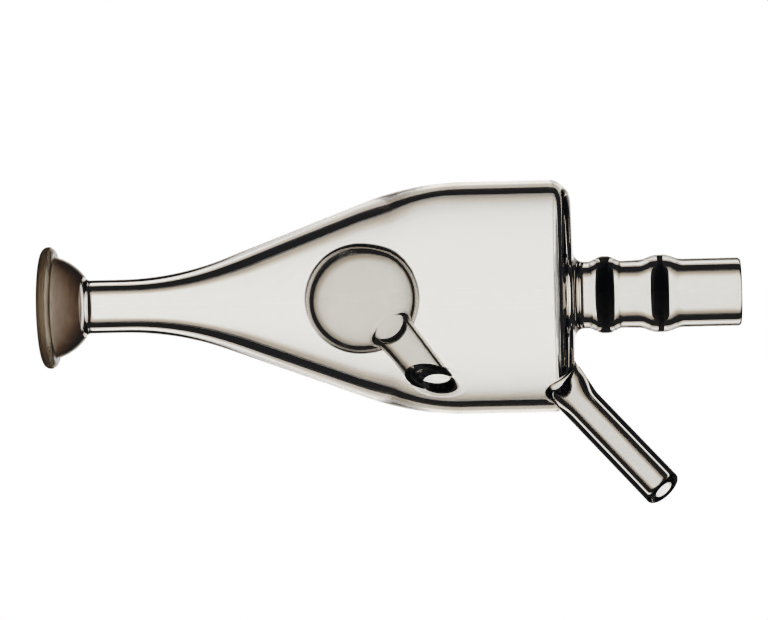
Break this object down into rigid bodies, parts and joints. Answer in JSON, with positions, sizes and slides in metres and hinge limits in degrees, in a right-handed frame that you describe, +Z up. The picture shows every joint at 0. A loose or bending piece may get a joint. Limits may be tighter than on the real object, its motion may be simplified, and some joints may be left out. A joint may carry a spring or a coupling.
{
  "type": "conical spray chamber with impact bead",
  "caption": "Blown glass spray chamber: a ground ball socket, a cone, an impact bead on a hollow stem, a drain and a port tube that grips a nebuliser in two O-rings.",
  "frame": {"origin": "centre of the ball that seats in the ground socket, on the chamber's axis", "axes": "+X along the chamber's axis from the socket to the nebuliser port, +Z up, so the drain tube points down in the XZ plane"},
  "size_m": [0.1445, 0.048, 0.0729],
  "materials": {
    "clear_glass": "clear fire-polished borosilicate",
    "ground_glass": "ground inside, so it looks frosted",
    "o_ring_rubber": "smooth black"
  },
  "bodies": {
    "root": {"socket_cup": "ground_glass", "neck_tube": "clear_glass", "cone": "clear_glass", "body_tube": "clear_glass", "end_wall": "clear_glass", "port_tube": "clear_glass", "inner_o_ring": "o_ring_rubber", "outer_o_ring": "o_ring_rubber", "drain_tube": "clear_glass", "impact_bead": "clear_glass", "bead_stem": "clear_glass"}
  },
  "joints": []
}
